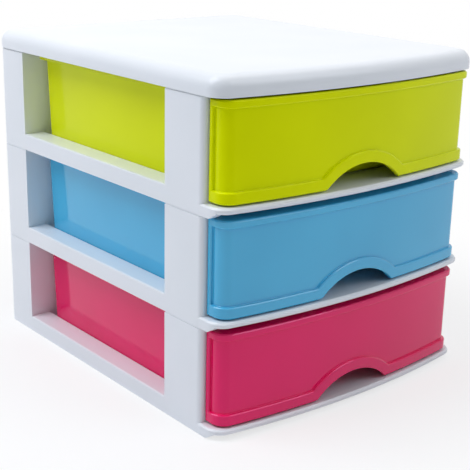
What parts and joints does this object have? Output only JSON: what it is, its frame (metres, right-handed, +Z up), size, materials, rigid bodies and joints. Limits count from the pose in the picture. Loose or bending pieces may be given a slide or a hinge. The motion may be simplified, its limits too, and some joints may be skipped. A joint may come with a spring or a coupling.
{
  "type": "drawer tower",
  "caption": "Free-standing desktop tower of stacked frames under a rounded cover, with bowed, notched drawers that slide out, for craft supplies and small parts.",
  "frame": {"origin": "on the surface the tower stands on, under the middle of its outer box", "axes": "+X to the right of someone who faces the drawers, -Y the way the drawers open, +Z up"},
  "size_m": [0.2316, 0.2798, 0.2325],
  "materials": {
    "white_polypropylene": "smooth injection moulding, satin gloss",
    "magenta_polypropylene": "smooth injection moulding, high gloss",
    "blue_polypropylene": "smooth injection moulding, high gloss",
    "lime_polypropylene": "smooth injection moulding, high gloss"
  },
  "bodies": {
    "tower": {"tier_frame_lower": "white_polypropylene", "tier_frame_middle": "white_polypropylene", "tier_frame_upper": "white_polypropylene", "top_cover": "white_polypropylene"},
    "lower_drawer": {"drawer_lower": "magenta_polypropylene"},
    "middle_drawer": {"drawer_middle": "blue_polypropylene"},
    "upper_drawer": {"drawer_upper": "lime_polypropylene"}
  },
  "joints": [
    {"name": "lower_drawer_slide", "type": "slide", "parent": "tower", "child": "lower_drawer", "axis": [0, -1, 0], "range_m": [0, 0.189]},
    {"name": "middle_drawer_slide", "type": "slide", "parent": "tower", "child": "middle_drawer", "axis": [0, -1, 0], "range_m": [0, 0.189]},
    {"name": "upper_drawer_slide", "type": "slide", "parent": "tower", "child": "upper_drawer", "axis": [0, -1, 0], "range_m": [0, 0.189]}
  ]
}
